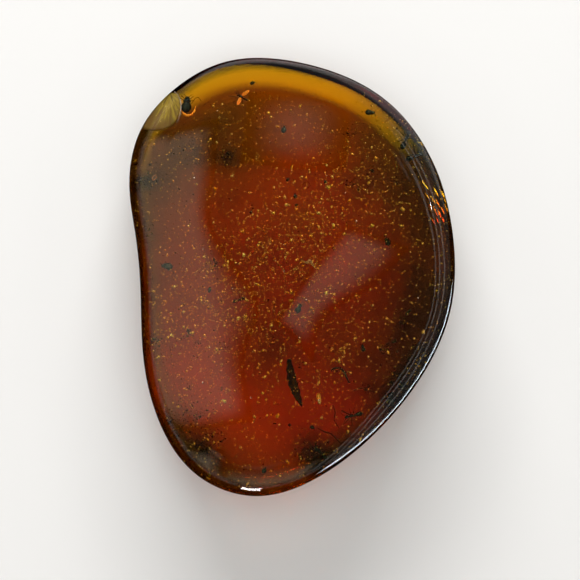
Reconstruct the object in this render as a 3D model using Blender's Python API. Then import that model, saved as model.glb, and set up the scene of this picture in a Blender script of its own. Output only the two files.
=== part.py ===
"""Insects in amber: one polished, kidney-shaped nugget lying on its flat underside.

Amber is a single lump of fossil resin, so the object is one solid. Its plan is a smooth
closed outline, its edge is rounded and thinner at the far end, and its right-hand edge
has three narrow polished bevels. Lengths are in millimetres until the mesh is made.
+X is right, +Y is the far end, and +Z is up; the origin is the middle of the underside.
"""
import math

import bmesh
import bpy
import numpy as np

MM = 0.001

# Driving dimensions
THICKNESS = 16.0            # at the highest point of the crown
CROWN_TOP = (2.0, -8.0)     # where the crown is highest
CROWN_DROP = (2.2, 5.0)     # how far the crown falls over CROWN_REACH along X and Y
CROWN_REACH = (24.0, 32.0)

# Edge shape, each as three values: all round, on the beveled side, and at the thin far end
GIRDLE_HEIGHT = (6.5, 8.6, 3.8)     # height of the widest line
EDGE_ROUND = (2.3, 0.9, 2.0)        # how far in the crown starts to roll over to the girdle
EDGE_FULLNESS = (2.2, 2.4, 2.8)     # 1 is a straight chamfer, 2 an ellipse, higher is blunter
FOOT_INSET = (4.5, 4.0, 6.3)        # how far in the flat underside ends
FOOT_FULLNESS = (2.2, 2.2, 1.7)
BEVEL_MIDDLE = 2.0                 # direction of the beveled side, in degrees from +X
BEVEL_REACH = (96.0, 140.0)         # full over the first angle, and fading over the second
FAR_END_MIDDLE = 86.0
FAR_END_REACH = (56.0, 50.0)

# Bevels on the right-hand edge, from the outermost in: how far in each cut meets the
# crown, and how much more steeply it falls than the crown does
BEVELS = ((2.37, 0.73), (2.92, 0.43), (3.35, 0.21))
BEVEL_SOFTNESS = 0.4        # width over which the crease between two bevels is rounded
BEVELS_END = 4.4            # how far in the bevels are gone all round

# Plan outline, anticlockwise from the right
OUTLINE = (
    (23.7, 0.5), (22.9, 9.2), (20.2, 17.3), (15.2, 24.4), (7.6, 29.3), (-2.0, 31.8),
    (-10.4, 31.2), (-17.2, 27.3), (-22.0, 21.2), (-23.6, 13.4), (-22.6, 5.4), (-21.9, -3.0),
    (-21.5, -12.0), (-19.3, -21.0), (-14.2, -28.6), (-6.0, -32.0), (2.5, -30.0),
    (10.8, -24.1), (17.9, -16.0), (22.3, -7.6),
)

# Mesh resolution
AROUND = 112
FLANK_STEPS = 7
EDGE_STEPS = 8
BEVEL_STEPS = 7
CROWN_SCALES = (0.86, 0.7, 0.52, 0.34, 0.15)


def closed_curve(points, count):
    """Smooth closed curve through the points: a uniform cubic B-spline."""
    points = np.array(points)
    size = len(points)
    weights = np.eye(size) * 4 / 6
    weights += np.roll(np.eye(size), 1, axis=1) / 6 + np.roll(np.eye(size), -1, axis=1) / 6
    controls = np.linalg.solve(weights, points)
    place = np.arange(count) * size / count
    index = place.astype(int)
    t = (place - index)[:, None]
    bases = ((1 - t) ** 3, 3 * t ** 3 - 6 * t ** 2 + 4, -3 * t ** 3 + 3 * t ** 2 + 3 * t + 1, t ** 3)
    return sum(basis * controls[(index + k - 1) % size] for k, basis in enumerate(bases)) / 6


def plan_outline(count):
    """Outline points about the middle of their own box, and their inward directions."""
    curve = closed_curve(OUTLINE, count)
    curve -= (curve.max(axis=0) + curve.min(axis=0)) / 2
    along = np.roll(curve, -1, axis=0) - np.roll(curve, 1, axis=0)
    inward = np.column_stack((-along[:, 1], along[:, 0]))
    return curve, inward / np.linalg.norm(inward, axis=1)[:, None]


def side_weight(curve, middle, reach):
    """1 on one side of the nugget, within half the first angle, fading over half the second."""
    angle = np.degrees(np.arctan2(curve[:, 1], curve[:, 0]))
    away = np.abs((angle - middle + 180) % 360 - 180)
    fade = np.clip((away * 2 - reach[0]) / reach[1], 0, 1)
    return np.cos(fade * math.pi / 2) ** 2


def by_side(values, bevel_weight, far_weight):
    """Value all round, drawn towards the beveled side's and the far end's own values."""
    all_round, beveled_side, far_end = values
    return all_round + (beveled_side - all_round) * bevel_weight + (far_end - all_round) * far_weight


def rounded_edge(turn, fullness):
    """Inset and rise of a rounded edge, both from 0 at the outline to 1 after a quarter turn."""
    power = 2 / fullness
    return 1 - np.abs(math.cos(turn)) ** power, math.sin(turn) ** power


def soft_minimum(a, b, softness):
    """The lower of two heights, with the crease between them slightly rounded."""
    return (a + b - np.sqrt((a - b) ** 2 + softness ** 2)) / 2


def crown_height(plan):
    """Height of the gently domed top at each plan point."""
    drop = sum(CROWN_DROP[k] * ((plan[:, k] - CROWN_TOP[k]) / CROWN_REACH[k]) ** 2 for k in (0, 1))
    return THICKNESS - drop


def quarter_turns(steps):
    """Angles from 0 to a quarter turn, both ends included."""
    return [math.pi / 2 * step / steps for step in range(steps + 1)]


def beveled(height, plan, inset, bevel_weight):
    """The top's height after the bevels are ground off it."""
    crown = crown_height(plan)
    for width, fall in BEVELS:
        cut = crown + fall * (inset - width * bevel_weight)
        height = soft_minimum(height, cut, fall * BEVEL_SOFTNESS)
    return height


def edge_steps(edge_round, edge_fullness):
    """Insets and rises from the outline over the rounded edge, and on over the bevels."""
    for turn in quarter_turns(EDGE_STEPS):
        inset, rise = rounded_edge(turn, edge_fullness)
        yield inset * edge_round, rise
    for step in range(1, BEVEL_STEPS + 1):
        yield edge_round + (BEVELS_END - edge_round) * step / BEVEL_STEPS, 1.0


def nugget_rings():
    """Rings of points from the edge of the flat underside up to the top of the crown."""
    curve, inward = plan_outline(AROUND)
    bevel_weight = side_weight(curve, BEVEL_MIDDLE, BEVEL_REACH)
    far_weight = side_weight(curve, FAR_END_MIDDLE, FAR_END_REACH)
    girdle, edge_round, edge_fullness, foot_inset, foot_fullness = (
        by_side(values, bevel_weight, far_weight)
        for values in (GIRDLE_HEIGHT, EDGE_ROUND, EDGE_FULLNESS, FOOT_INSET, FOOT_FULLNESS)
    )
    rings = []
    for turn in reversed(quarter_turns(FLANK_STEPS)[1:]):
        inset, drop = rounded_edge(turn, foot_fullness)
        plan = curve + inward * (inset * foot_inset)[:, None]
        rings.append(np.column_stack((plan, girdle * (1 - drop))))
    for inset, rise in edge_steps(edge_round, edge_fullness):
        plan = curve + inward * inset[:, None]
        top = beveled(crown_height(plan), plan, inset, bevel_weight)
        rings.append(np.column_stack((plan, girdle + (top - girdle) * rise)))
    shoulder = rings[-1][:, :2]
    for scale in CROWN_SCALES:
        plan = shoulder * scale
        rings.append(np.column_stack((plan, crown_height(plan))))
    return rings


def loft(rings):
    """Closed mesh over the rings, with a flat face below and a small fan on top."""
    shape = bmesh.new()
    loops = [[shape.verts.new(point * MM) for point in ring] for ring in rings]
    shape.faces.new(reversed(loops[0]))
    for lower, upper in zip(loops, loops[1:]):
        for k in range(AROUND):
            after = (k + 1) % AROUND
            shape.faces.new((lower[k], lower[after], upper[after], upper[k]))
    summit = shape.verts.new((0.0, 0.0, crown_height(np.zeros((1, 2)))[0] * MM))
    for k in range(AROUND):
        shape.faces.new((loops[-1][k], loops[-1][(k + 1) % AROUND], summit))
    return shape


def amber_material():
    """Clear brown-orange amber."""
    material = bpy.data.materials.new("amber")
    material.use_nodes = True
    surface = material.node_tree.nodes["Principled BSDF"]
    surface.inputs["Base Color"].default_value = (0.45, 0.12, 0.02, 1.0)
    surface.inputs["Metallic"].default_value = 0.0
    surface.inputs["Roughness"].default_value = 0.05
    surface.inputs["IOR"].default_value = 1.54
    surface.inputs["Transmission Weight"].default_value = 0.8
    return material


def amber_nugget():
    """The whole nugget as one solid."""
    shape = loft(nugget_rings())
    mesh = bpy.data.meshes.new("amber_nugget")
    shape.to_mesh(mesh)
    shape.free()
    mesh.materials.append(amber_material())
    mesh.shade_smooth()
    nugget = bpy.data.objects.new("amber_nugget", mesh)
    bpy.context.scene.collection.objects.link(nugget)


for old in list(bpy.data.objects):
    bpy.data.objects.remove(old, do_unlink=True)
amber_nugget()
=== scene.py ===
"""Looks of the insects-in-amber nugget: see-through amber with what is sealed in it."""

import math

import bmesh
import bpy
import numpy as np
from mathutils import Euler, Matrix, Vector, noise


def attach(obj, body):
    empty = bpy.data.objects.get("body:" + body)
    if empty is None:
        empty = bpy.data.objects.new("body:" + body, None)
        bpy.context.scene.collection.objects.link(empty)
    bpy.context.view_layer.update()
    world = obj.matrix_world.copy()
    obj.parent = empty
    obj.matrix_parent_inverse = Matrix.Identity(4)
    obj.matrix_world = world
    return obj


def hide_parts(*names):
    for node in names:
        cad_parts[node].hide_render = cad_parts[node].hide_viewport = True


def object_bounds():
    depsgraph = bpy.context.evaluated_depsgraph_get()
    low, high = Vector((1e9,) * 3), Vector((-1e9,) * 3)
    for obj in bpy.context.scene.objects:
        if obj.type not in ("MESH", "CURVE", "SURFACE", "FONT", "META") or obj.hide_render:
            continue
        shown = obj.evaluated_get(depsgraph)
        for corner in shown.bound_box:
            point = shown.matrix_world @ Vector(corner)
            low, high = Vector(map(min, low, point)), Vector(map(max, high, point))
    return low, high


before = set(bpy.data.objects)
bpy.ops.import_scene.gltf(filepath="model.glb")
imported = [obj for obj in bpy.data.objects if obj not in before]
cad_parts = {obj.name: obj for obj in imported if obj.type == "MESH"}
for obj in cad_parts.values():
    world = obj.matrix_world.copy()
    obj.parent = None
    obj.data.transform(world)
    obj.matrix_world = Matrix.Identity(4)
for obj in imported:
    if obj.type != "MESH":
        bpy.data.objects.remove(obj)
cad_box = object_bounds()

MM = 0.001

# The photograph's frame: the picture's size in pixels, and where the nugget's middle lies in it
PICTURE = 580
NUGGET_LENGTH_PX = 439.0
NUGGET_MIDDLE_PX = (291.5, 276.0)
MM_PER_PX = (cad_box[1].y - cad_box[0].y) / MM / NUGGET_LENGTH_PX

# Shape of the nugget in mm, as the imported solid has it
THICKNESS = 16.0
CROWN_TOP = (2.0, -8.0)
CROWN_DROP = (2.2, 5.0)
CROWN_REACH = (24.0, 32.0)
GIRDLE_HEIGHT = (6.5, 8.6, 3.8)
EDGE_ROUND = (2.3, 0.9, 2.0)
EDGE_FULLNESS = (2.2, 2.4, 2.8)
FOOT_INSET = (4.5, 4.0, 6.3)
FOOT_FULLNESS = (2.2, 2.2, 1.7)
BEVEL_MIDDLE = 2.0
BEVEL_REACH = (96.0, 140.0)
FAR_END_MIDDLE = 86.0
FAR_END_REACH = (56.0, 50.0)
BEVELS = ((2.37, 0.73), (2.92, 0.43), (3.35, 0.21))
BEVEL_SOFTNESS = 0.4
BEVELS_END = 4.4
OUTLINE = (
    (23.7, 0.5), (22.9, 9.2), (20.2, 17.3), (15.2, 24.4), (7.6, 29.3), (-2.0, 31.8),
    (-10.4, 31.2), (-17.2, 27.3), (-22.0, 21.2), (-23.6, 13.4), (-22.6, 5.4), (-21.9, -3.0),
    (-21.5, -12.0), (-19.3, -21.0), (-14.2, -28.6), (-6.0, -32.0), (2.5, -30.0),
    (10.8, -24.1), (17.9, -16.0), (22.3, -7.6),
)

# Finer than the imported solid
AROUND = 360
FLANK_STEPS = 26
EDGE_STEPS = 40
BEVEL_STEPS = 70
CROWN_RINGS = 60


def place(px, py, height):
    """Point in mm over a pixel of the photograph, at a height in the nugget."""
    return Vector((
        (px - NUGGET_MIDDLE_PX[0]) * MM_PER_PX,
        (NUGGET_MIDDLE_PX[1] - py) * MM_PER_PX,
        height,
    ))


# ---------------------------------------------------------------- shape of the nugget

def closed_curve(points, count):
    """Smooth closed curve through the points: a uniform cubic B-spline."""
    points = np.array(points)
    size = len(points)
    weights = np.eye(size) * 4 / 6
    weights += np.roll(np.eye(size), 1, axis=1) / 6 + np.roll(np.eye(size), -1, axis=1) / 6
    controls = np.linalg.solve(weights, points)
    along = np.arange(count) * size / count
    index = along.astype(int)
    t = (along - index)[:, None]
    bases = ((1 - t) ** 3, 3 * t ** 3 - 6 * t ** 2 + 4, -3 * t ** 3 + 3 * t ** 2 + 3 * t + 1, t ** 3)
    return sum(basis * controls[(index + k - 1) % size] for k, basis in enumerate(bases)) / 6


def plan_outline(count):
    """Outline points about the middle of their own box, and their inward directions."""
    curve = closed_curve(OUTLINE, count)
    curve -= (curve.max(axis=0) + curve.min(axis=0)) / 2
    along = np.roll(curve, -1, axis=0) - np.roll(curve, 1, axis=0)
    inward = np.column_stack((-along[:, 1], along[:, 0]))
    return curve, inward / np.linalg.norm(inward, axis=1)[:, None]


def side_weight(curve, middle, reach):
    """1 on one side of the nugget, within half the first angle, fading over half the second."""
    angle = np.degrees(np.arctan2(curve[:, 1], curve[:, 0]))
    away = np.abs((angle - middle + 180) % 360 - 180)
    fade = np.clip((away * 2 - reach[0]) / reach[1], 0, 1)
    return np.cos(fade * math.pi / 2) ** 2


def by_side(values, bevel_weight, far_weight):
    """Value all round, drawn towards the beveled side's and the far end's own values."""
    all_round, beveled_side, far_end = values
    return all_round + (beveled_side - all_round) * bevel_weight + (far_end - all_round) * far_weight


def edge_shape(curve):
    """Weight of the bevels at outline points, and the edge's values there, from girdle to foot."""
    bevel_weight = side_weight(curve, BEVEL_MIDDLE, BEVEL_REACH)
    far_weight = side_weight(curve, FAR_END_MIDDLE, FAR_END_REACH)
    edge = (GIRDLE_HEIGHT, EDGE_ROUND, EDGE_FULLNESS, FOOT_INSET, FOOT_FULLNESS)
    return bevel_weight, *(by_side(values, bevel_weight, far_weight) for values in edge)


def rounded_edge(turn, fullness):
    """Inset and rise of a rounded edge, both from 0 at the outline to 1 after a quarter turn."""
    power = 2 / fullness
    return 1 - np.abs(math.cos(turn)) ** power, math.sin(turn) ** power


def soft_minimum(a, b, softness):
    """The lower of two heights, with the crease between them slightly rounded."""
    return (a + b - np.sqrt((a - b) ** 2 + softness ** 2)) / 2


# Broad low swells that hand polishing left on the top: pixel, radius in mm, height in mm
SWELLS = (
    ((293, 303), 6.5, 0.28), ((244, 213), 5.0, -0.15), ((185, 150), 5.0, 0.06),
    ((190, 400), 5.0, -0.08), ((345, 235), 5.0, 0.06), ((380, 330), 6.0, -0.07),
    ((290, 420), 6.0, 0.06), ((370, 180), 5.0, -0.06),
)


def swell_height(plan):
    """Height that the polishing swells add to the crown at each plan point."""
    total = np.zeros(len(plan))
    for pixel, radius, height in SWELLS:
        middle = place(*pixel, 0.0)
        away = (plan[:, 0] - middle.x) ** 2 + (plan[:, 1] - middle.y) ** 2
        total += height * np.exp(-away / radius ** 2)
    return total


def crown_height(plan):
    """Height of the gently domed top at each plan point."""
    drop = sum(CROWN_DROP[k] * ((plan[:, k] - CROWN_TOP[k]) / CROWN_REACH[k]) ** 2 for k in (0, 1))
    return THICKNESS - drop + swell_height(plan)


def quarter_turns(steps):
    """Angles from 0 to a quarter turn, both ends included."""
    return [math.pi / 2 * step / steps for step in range(steps + 1)]


def beveled(height, plan, inset, bevel_weight):
    """The top's height after the bevels are ground off it."""
    crown = crown_height(plan)
    for width, fall in BEVELS:
        cut = crown + fall * (inset - width * bevel_weight)
        height = soft_minimum(height, cut, fall * BEVEL_SOFTNESS)
    return height


def edge_steps(edge_round, edge_fullness):
    """Insets and rises from the outline over the rounded edge, and on over the bevels."""
    for turn in quarter_turns(EDGE_STEPS):
        inset, rise = rounded_edge(turn, edge_fullness)
        yield inset * edge_round, rise
    for step in range(1, BEVEL_STEPS + 1):
        yield edge_round + (BEVELS_END - edge_round) * step / BEVEL_STEPS, 1.0


def nugget_rings():
    """Rings of points from the edge of the flat underside up to the top of the crown."""
    curve, inward = plan_outline(AROUND)
    bevel_weight, girdle, edge_round, edge_fullness, foot_inset, foot_fullness = edge_shape(curve)
    rings = []
    for turn in reversed(quarter_turns(FLANK_STEPS)[1:]):
        inset, drop = rounded_edge(turn, foot_fullness)
        plan = curve + inward * (inset * foot_inset)[:, None]
        rings.append(np.column_stack((plan, girdle * (1 - drop))))
    for inset, rise in edge_steps(edge_round, edge_fullness):
        plan = curve + inward * inset[:, None]
        top = beveled(crown_height(plan), plan, inset, bevel_weight)
        rings.append(np.column_stack((plan, girdle + (top - girdle) * rise)))
    shoulder = rings[-1][:, :2]
    for ring in range(1, CROWN_RINGS):
        plan = shoulder * (1 - ring / CROWN_RINGS)
        rings.append(np.column_stack((plan, crown_height(plan))))
    return rings


def join_loops(shape, lower, upper):
    """Band of four-sided faces between two loops of corners."""
    faces = []
    for k in range(len(lower)):
        after = (k + 1) % len(lower)
        faces.append(shape.faces.new((lower[k], lower[after], upper[after], upper[k])))
    return faces


def close_loop(shape, loop, tip):
    """Fan of faces from a loop of corners to a tip."""
    for k in range(len(loop)):
        shape.faces.new((loop[k], loop[(k + 1) % len(loop)], tip))


def loft(rings):
    """Closed mesh over the rings, with a flat face below and a small fan on top."""
    shape = bmesh.new()
    loops = [[shape.verts.new(point * MM) for point in ring] for ring in rings]
    shape.faces.new(reversed(loops[0]))
    for lower, upper in zip(loops, loops[1:]):
        join_loops(shape, lower, upper)
    summit = shape.verts.new((0.0, 0.0, crown_height(np.zeros((1, 2)))[0] * MM))
    close_loop(shape, loops[-1], summit)
    return shape


# ---------------------------------------------------------------- nodes and materials

IOR = 1.54
# Amber takes blue within a millimetre or two, then green, and red last, all per metre
AMBER_TAKES = (11.0, 101.0, 690.0)
BUMP_HEIGHT = 0.02


def new_material(name):
    """Empty node material and its node tree."""
    material = bpy.data.materials.new(name)
    material.use_nodes = True
    material.node_tree.nodes.clear()
    return material, material.node_tree


def add_node(tree, kind, values, **settings):
    """Node with its settings, and for each input its value or the socket that feeds it."""
    node = tree.nodes.new(f"ShaderNode{kind}")
    for name, setting in settings.items():
        setattr(node, name, setting)
    for key, value in values.items():
        if isinstance(value, bpy.types.NodeSocket):
            tree.links.new(value, node.inputs[key])
        else:
            node.inputs[key].default_value = value
    return node


def calculate(tree, operation, *values):
    """Result of one piece of arithmetic on numbers and sockets."""
    return add_node(tree, "Math", dict(enumerate(values)), operation=operation).outputs[0]


def smooth_fade(tree, value, ends, results):
    """Runs smoothly from the first result to the second as the value goes from one end to the other."""
    limits = {"From Min": ends[0], "From Max": ends[1], "To Min": results[0], "To Max": results[1]}
    node = add_node(tree, "MapRange", {"Value": value, **limits}, interpolation_type="SMOOTHSTEP")
    return node.outputs["Result"]


def noise_pattern(tree, where, scale, detail):
    """Soft blotches, 0 to 1."""
    return add_node(tree, "TexNoise", {"Vector": where, "Scale": scale, "Detail": detail}).outputs["Fac"]


def colour_ramp(tree, share, stops):
    """Colour at a share of 0 to 1, from stops that are each a position and a colour."""
    ramp = add_node(tree, "ValToRGB", {"Fac": share})
    elements = ramp.color_ramp.elements
    for position, colour in stops:
        elements.new(position).color = (*colour, 1.0)
    elements.remove(elements[0])
    elements.remove(elements[-1])
    return ramp.outputs["Color"]


def add_surface(tree, values):
    """Plain surface with the given values, and the material's output that shows it."""
    surface = add_node(tree, "BsdfPrincipled", values)
    return add_node(tree, "OutputMaterial", {"Surface": surface.outputs["BSDF"]})


def see_through(name, ior, takes):
    """Clear, even matter: its index, and what it takes of red, green and blue per metre."""
    material, tree = new_material(name)
    clear = {"Base Color": (1.0, 1.0, 1.0, 1.0), "Roughness": 0.0, "IOR": ior, "Transmission Weight": 1.0}
    output = add_surface(tree, clear)
    density = max(takes)
    leaves = (*(1 - share / density for share in takes), 1.0)
    absorption = add_node(tree, "VolumeAbsorption", {"Color": leaves, "Density": density})
    tree.links.new(absorption.outputs["Volume"], output.inputs["Volume"])
    return material


def dust_material(name, dark, pale, roughness, scale):
    """Grains whose colour runs between two from place to place."""
    material, tree = new_material(name)
    where = add_node(tree, "TexCoord", {}).outputs["Object"]
    pattern = noise_pattern(tree, where, scale, 1.0)
    colour = colour_ramp(tree, pattern, ((0.35, dark), (0.65, pale)))
    add_surface(tree, {"Base Color": colour, "Roughness": roughness})
    return material


def mottled_material(name, dark, pale, roughness, metallic=0.0, scale=6.0, bump=0.3):
    """Two colours in small mottles that follow the piece, with a fine bump."""
    material, tree = new_material(name)
    where = add_node(tree, "TexCoord", {}).outputs["Generated"]
    pattern = noise_pattern(tree, where, scale, 4.0)
    relief = add_node(tree, "Bump", {"Height": pattern, "Strength": bump, "Distance": BUMP_HEIGHT * MM})
    add_surface(tree, {
        "Base Color": colour_ramp(tree, pattern, ((0.38, dark), (0.62, pale))),
        "Roughness": roughness,
        "Metallic": metallic,
        "Specular IOR Level": 0.3,
        "Normal": relief.outputs["Normal"],
    })
    return material


# ---------------------------------------------------------------- pieces

def add_object(name, shape, material):
    """Object from a bmesh, smooth shaded."""
    mesh = bpy.data.meshes.new(name)
    shape.to_mesh(mesh)
    shape.free()
    mesh.materials.append(material)
    mesh.shade_smooth()
    piece = bpy.data.objects.new(name, mesh)
    bpy.context.scene.collection.objects.link(piece)
    return piece


def fine_amber():
    """The see-through nugget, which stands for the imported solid."""
    resin = see_through("amber_clear", IOR, AMBER_TAKES)
    nugget = add_object("amber_body", loft(nugget_rings()), resin)
    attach(nugget, "root")
    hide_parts("amber_nugget")


# ---------------------------------------------------------------- room inside the amber

OUTLINE_CURVE, OUTLINE_INWARD = plan_outline(AROUND)
OUTLINE_EDGE = edge_shape(OUTLINE_CURVE)
OUT_OF_REACH = 1000.0       # added to the lowest height where there is no amber


def nearest_edge(plan):
    """Distance in from the outline at plan points, below 0 outside it, and the nearest outline points."""
    offset = plan[:, None, :] - OUTLINE_CURVE[None]
    nearest = np.argmin((offset ** 2).sum(axis=2), axis=1)
    inset = (offset[np.arange(len(plan)), nearest] * OUTLINE_INWARD[nearest]).sum(axis=1)
    return inset, nearest


def superellipse(share, fullness):
    """Height of a rounded edge, 0 to 1, at a share of its width."""
    return (1 - (1 - np.clip(share, 0, 1)) ** fullness) ** (1 / fullness)


def room_at(plan, margin=0.0):
    """Lowest and highest heights in the amber at plan points, a margin inside it; outside, low > high."""
    inset, nearest = nearest_edge(plan)
    bevel_weight, girdle, edge_round, edge_fullness, foot_inset, foot_fullness = (
        values[nearest] for values in OUTLINE_EDGE
    )
    top = beveled(crown_height(plan), plan, inset, bevel_weight)
    high = girdle + (top - girdle) * superellipse(inset / edge_round, edge_fullness)
    low = girdle * (1 - superellipse(inset / foot_inset, foot_fullness))
    outside = inset < margin
    return low + margin + outside * OUT_OF_REACH, high - margin


def kept_inside(points, skin):
    """The points, with those outside the amber or less than a skin's depth from its top or foot moved in."""
    inset, nearest = nearest_edge(points[:, :2])
    plan = points[:, :2] + OUTLINE_INWARD[nearest] * np.maximum(2 * skin - inset, 0)[:, None]
    low, high = room_at(plan, skin)
    return np.column_stack((plan, np.clip(points[:, 2], low, high)))


# ---------------------------------------------------------------- dust sealed in the resin

# How many grains of each sort
GOLDEN_FINE = 5600
GOLDEN_COARSE = 1000
BROWN_FINE = 3000
DARK_FINE = 900
DARK_COARSE = 160

SCATTER_BOX = ((-24.0, -32.5), (24.0, 32.5))
SCATTER_BATCH = 20000
DUST_MARGIN = 0.35

# How deep under the surface a grain's middle stays: a skin, and a share of the grain's size
GRAIN_SKIN = 0.15
GRAIN_REACH = 0.75
# A grain is a pyramid, stretched and skewed at random
GRAIN_STRETCH = (0.6, 1.4)
GRAIN_SKEW = 0.25
GRAIN_CORNERS = np.array([(1, 1, 1), (1, -1, -1), (-1, 1, -1), (-1, -1, 1)]) / math.sqrt(3)
GRAIN_FACES = np.array([(0, 1, 2), (0, 3, 1), (0, 2, 3), (1, 3, 2)])

# Clear band along the far edge: its middle direction, its reach, how far in it begins to end, and the
# width over which it ends
CLEAR_MIDDLE = 97.0
CLEAR_REACH = (45.0, 26.0)
CLEAR_WIDTH = 4.2
CLEAR_FADE = 3.0


def scatter(random, count, density, depth):
    """Random points in the amber. density(plan) is 0 to 1; depth(random, count) is in mm below the top."""
    found = []
    total = 0
    while total < count:
        plan = random.uniform(*SCATTER_BOX, (SCATTER_BATCH, 2))
        low, high = room_at(plan, DUST_MARGIN)
        height = high - depth(random, len(plan))
        keep = (low < height) & (random.random(len(plan)) < density(plan))
        points = np.column_stack((plan, height))[keep]
        found.append(points)
        total += len(points)
    return np.concatenate(found)[:count]


def shallow(random, count):
    """Depths of bright flakes: most lie in the first two millimetres."""
    return random.exponential(0.8, count)


def deep(random, count):
    """Depths of the fine dust: through the middle of the amber."""
    return random.uniform(4.5, 9.5, count)


def spot(plan, px, py, reach_x, reach_y, turn=0.0):
    """Soft elliptic patch round a pixel, 1 in its middle. Reaches in mm, turned by degrees anticlockwise."""
    middle = place(px, py, 0.0)
    c = math.cos(math.radians(turn))
    s = math.sin(math.radians(turn))
    x = plan[:, 0] - middle.x
    y = plan[:, 1] - middle.y
    return np.exp(-((x * c + y * s) / reach_x) ** 2 - ((y * c - x * s) / reach_y) ** 2)


def grain_map(count):
    """A map that gives each grain its own small square, split into its four faces."""
    across = math.ceil(math.sqrt(count))
    corners = np.array([(0.2, 0.2), (0.8, 0.2), (0.8, 0.8), (0.2, 0.8)])
    faces = np.array([((0.5, 0.5), corners[k], corners[(k + 1) % 4]) for k in range(4)])
    index = np.arange(count)
    cell = np.column_stack((index % across, index // across))
    return (cell[:, None, None] + faces[None]) / across


def turned(corners, angles, a, b):
    """Each grain's corners, turned by its angle from axis a towards axis b."""
    c, s = np.cos(angles)[:, None], np.sin(angles)[:, None]
    result = corners.copy()
    result[:, :, a] = corners[:, :, a] * c - corners[:, :, b] * s
    result[:, :, b] = corners[:, :, a] * s + corners[:, :, b] * c
    return result


def grains(name, random, points, sizes, flatness, most_tilt, material):
    """One mesh of closed, flattened four-sided grains, one at each point. Sizes are across, in mm."""
    count = len(points)
    points = kept_inside(points, GRAIN_SKIN + GRAIN_REACH * sizes)
    stretch = random.uniform(*GRAIN_STRETCH, (count, 3))
    stretch[:, 2] *= flatness
    corners = GRAIN_CORNERS[None] + random.uniform(-GRAIN_SKEW, GRAIN_SKEW, (count, 4, 3))
    corners = corners * stretch[:, None] * (sizes / 2)[:, None, None]
    tilt = np.radians(random.uniform(0, most_tilt, count))
    heading = random.uniform(0, math.tau, count)
    spin = random.uniform(0, math.tau, count)
    corners = turned(turned(turned(corners, spin, 0, 1), tilt, 0, 2), heading, 0, 1)
    vertices = ((corners + points[:, None]) * MM).reshape(-1, 3)
    faces = (GRAIN_FACES[None] + 4 * np.arange(count)[:, None, None]).reshape(-1, 3)
    mesh = bpy.data.meshes.new(name)
    mesh.from_pydata(vertices.tolist(), [], faces.tolist(), shade_flat=False)
    mesh.uv_layers.new(name="OFBake").data.foreach_set("uv", grain_map(count).ravel())
    mesh.materials.append(material)
    piece = bpy.data.objects.new(name, mesh)
    bpy.context.scene.collection.objects.link(piece)
    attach(piece, "root")


def belt_density(plan):
    """Where the bright specks gather: a slanting belt over the middle, thinner all over."""
    belt = spot(plan, 285, 250, 17.0, 6.5, 40.0)
    streak = spot(plan, 338, 345, 2.2, 9.0, -20.0)
    patch = spot(plan, 235, 320, 12.0, 8.0)
    return np.clip(0.2 + 0.8 * belt + 0.35 * patch + 0.5 * streak, 0, 1) * clear_end(plan)


def clear_end(plan):
    """0 in the clear band along the far edge, 1 elsewhere."""
    inset = nearest_edge(plan)[0]
    far_weight = side_weight(plan, CLEAR_MIDDLE, CLEAR_REACH)
    return 1 - far_weight * (1 - np.clip((inset - CLEAR_WIDTH) / CLEAR_FADE, 0, 1))


def haze_density(plan):
    """Where fine brown dust clouds the resin, leaving clear red windows."""
    windows = (
        0.75 * spot(plan, 330, 185, 7.0, 4.5, -50.0)
        + 0.8 * spot(plan, 345, 415, 7.0, 5.0, 30.0)
        + 0.6 * spot(plan, 395, 290, 4.0, 6.0)
        + 0.5 * spot(plan, 255, 425, 8.0, 4.0)
        + 0.5 * spot(plan, 290, 225, 5.0, 4.0)
    )
    return np.clip(1 - windows, 0.08, 1) * clear_end(plan)


def long_tailed(random, count, least, mean, most):
    """Random sizes: the least, plus an amount that is mostly small, with a mean and a most."""
    return least + np.minimum(random.exponential(mean, count), most)


def dust():
    """The thousands of grains in the resin, as a few joined meshes."""
    random = np.random.default_rng(7)
    golden = dust_material("golden_grain", (0.95, 0.55, 0.1), (1.0, 0.88, 0.32), 0.7, 900.0)
    points = scatter(random, GOLDEN_FINE, belt_density, shallow)
    sizes = random.uniform(0.15, 0.26, len(points))
    grains("golden_dust", random, points, sizes, 0.45, 35.0, golden)
    points = scatter(random, GOLDEN_COARSE, belt_density, shallow)
    sizes = long_tailed(random, len(points), 0.27, 0.1, 0.4)
    grains("golden_specks", random, points, sizes, 0.35, 30.0, golden)
    brown = dust_material("brown_grain", (0.2, 0.1, 0.05), (0.72, 0.52, 0.32), 0.9, 500.0)
    points = scatter(random, BROWN_FINE, haze_density, deep)
    sizes = random.uniform(0.14, 0.26, len(points))
    grains("brown_dust", random, points, sizes, 0.5, 60.0, brown)
    dark = dust_material("dark_grain", (0.004, 0.005, 0.006), (0.03, 0.03, 0.028), 0.7, 900.0)
    points = scatter(random, DARK_FINE, haze_density, deep)
    sizes = long_tailed(random, len(points), 0.1, 0.09, math.inf)
    grains("dark_dust", random, points, sizes, 0.6, 90.0, dark)
    points = scatter(random, DARK_COARSE, haze_density, shallow)
    sizes = long_tailed(random, len(points), 0.16, 0.07, 0.3)
    grains("dark_specks", random, points, sizes, 0.5, 60.0, dark)


# ---------------------------------------------------------------- stains

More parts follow.
